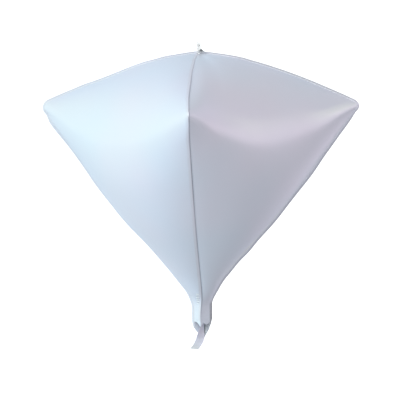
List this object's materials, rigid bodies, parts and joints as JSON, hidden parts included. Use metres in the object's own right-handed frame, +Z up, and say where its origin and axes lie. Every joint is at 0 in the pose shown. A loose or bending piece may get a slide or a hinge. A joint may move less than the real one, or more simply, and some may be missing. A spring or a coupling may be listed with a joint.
{
  "type": "diamond foil balloon",
  "caption": "Inflated diamond-shaped foil balloon: kite-shaped film gores with welded edge flanges, a tab with an eyelet on the crown, and a short neck with lips and a valve tail.",
  "frame": {"origin": "on the balloon's axis 127.5 mm below the crown's weld, within 2 mm of the centre of the gas volume", "axes": "+Z up along the balloon's axis towards the hang tab; the front seam lies towards -Y, the side seams towards +X and -X"},
  "size_m": [0.42, 0.42, 0.415],
  "materials": {
    "film": "pearl white metallised film, satin, drawn tight by the gas",
    "weld": "two plies of the film heat-welded flat, finely ribbed by the weld",
    "valve_film": "milky film, soft satin"
  },
  "bodies": {
    "envelope": {"gore_front_left": "film", "gore_front_right": "film", "gore_back_right": "film", "gore_back_left": "film", "seam_front": "weld", "seam_right": "weld", "seam_back": "weld", "seam_left": "weld", "valve_sleeve": "valve_film"},
    "hang_tab": {"hang_tab": "weld"},
    "valve_tail": {"valve_tail": "valve_film"}
  },
  "joints": [
    {"name": "tab_fold", "type": "hinge", "parent": "envelope", "child": "hang_tab", "pos_m": [0, 0, 0.1285], "axis": [1, 0, 0], "range_deg": [-75, 75], "stiffness_Nm_per_rad": 0.000004},
    {"name": "tail_swing", "type": "hinge", "parent": "envelope", "child": "valve_tail", "pos_m": [-0.0008, 0, -0.2475], "axis": [0.9272, 0, -0.3746], "range_deg": [-45, 30], "stiffness_Nm_per_rad": 0.000004}
  ]
}
